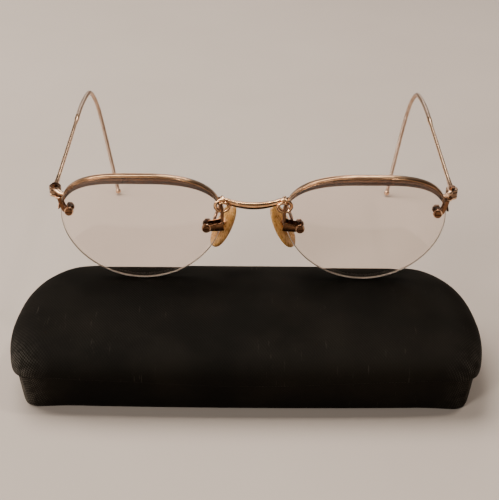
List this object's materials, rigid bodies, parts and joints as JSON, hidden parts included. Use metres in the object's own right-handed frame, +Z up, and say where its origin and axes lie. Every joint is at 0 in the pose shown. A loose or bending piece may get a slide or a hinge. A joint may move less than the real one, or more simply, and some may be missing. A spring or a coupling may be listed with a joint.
{
  "type": "spectacles on clamshell case",
  "caption": "Vintage semi-rimless spectacles with curl cable temples and amber nose pads, standing on their black leatherette clamshell case.",
  "frame": {"origin": "centre of the case's flat underside", "axes": "+Z up, +X along the case to its right end, +Y to the case's hinge and along the open temples"},
  "size_m": [0.1352, 0.1435, 0.0549],
  "materials": {
    "gold_filled": "polished",
    "gold_hardware": "polished",
    "gold_cable": "satin",
    "lens_glass": "polished",
    "pad_amber": "polished",
    "case_leatherette": "fine grain, satin",
    "case_steel": "pressed",
    "case_velvet": "short pile"
  },
  "bodies": {
    "case_base": {"base_cover": "case_leatherette", "base_shell": "case_steel", "base_lining": "case_velvet", "base_hinge": "case_steel", "case_hinge_pin": "case_steel", "snap_springs": "case_steel"},
    "case_lid": {"lid_cover": "case_leatherette", "lid_shell": "case_steel", "lid_lining": "case_velvet", "lid_hinge": "case_steel"},
    "spectacles_front": {"lens_left": "lens_glass", "lens_right": "lens_glass", "arch_arm_left": "gold_filled", "arch_arm_right": "gold_filled", "end_piece_left": "gold_filled", "end_piece_right": "gold_filled", "nasal_strap_left": "gold_filled", "nasal_strap_right": "gold_filled", "temporal_strap_left": "gold_filled", "temporal_strap_right": "gold_filled", "pad_arm_left": "gold_filled", "pad_arm_right": "gold_filled", "pad_box_left": "gold_filled", "pad_box_right": "gold_filled", "lens_screws": "gold_hardware", "lens_nuts": "gold_hardware", "lens_washers": "gold_hardware", "bridge": "gold_filled", "pad_pins": "gold_hardware", "hinge_screws": "gold_hardware"},
    "temple_left": {"temple_butt_left": "gold_filled", "temple_shaft_left": "gold_filled", "temple_sleeve_left": "gold_filled", "temple_cable_left": "gold_cable", "temple_tip_left": "gold_filled"},
    "nose_pad_left": {"nose_pad_left": "pad_amber", "pad_lug_left": "gold_filled"},
    "temple_right": {"temple_butt_right": "gold_filled", "temple_shaft_right": "gold_filled", "temple_sleeve_right": "gold_filled", "temple_cable_right": "gold_cable", "temple_tip_right": "gold_filled"},
    "nose_pad_right": {"nose_pad_right": "pad_amber", "pad_lug_right": "gold_filled"}
  },
  "joints": [
    {"name": "lid_hinge_turn", "type": "hinge", "parent": "case_base", "child": "case_lid", "pos_m": [0, 0.0271, 0.01295], "axis": [-1, 0, 0], "range_deg": [0, 110]},
    {"name": "spectacles_lift", "type": "slide", "parent": "case_base", "child": "spectacles_front", "axis": [0, 0, 1], "range_m": [0, 0.12]},
    {"name": "temple_left_fold", "type": "hinge", "parent": "spectacles_front", "child": "temple_left", "pos_m": [-0.0568, 0.02, 0.0465], "axis": [0, 0, -1], "range_deg": [0, 78]},
    {"name": "temple_right_fold", "type": "hinge", "parent": "spectacles_front", "child": "temple_right", "pos_m": [0.0604, 0.02, 0.0465], "axis": [0, 0, 1], "range_deg": [0, 52]},
    {"name": "pad_left_rock", "type": "hinge", "parent": "spectacles_front", "child": "nose_pad_left", "pos_m": [-0.00886, 0.02023, 0.03523], "axis": [-0.4137, 0.8866, 0.2069], "range_deg": [-8, 8]},
    {"name": "pad_right_rock", "type": "hinge", "parent": "spectacles_front", "child": "nose_pad_right", "pos_m": [0.01247, 0.02023, 0.03523], "axis": [0.4137, 0.8866, 0.2069], "range_deg": [-8, 8]}
  ],
  "couplings": [
    {"joint": "spectacles_lift", "follows": "lid_hinge_turn", "m_per_rad": 0.06}
  ]
}
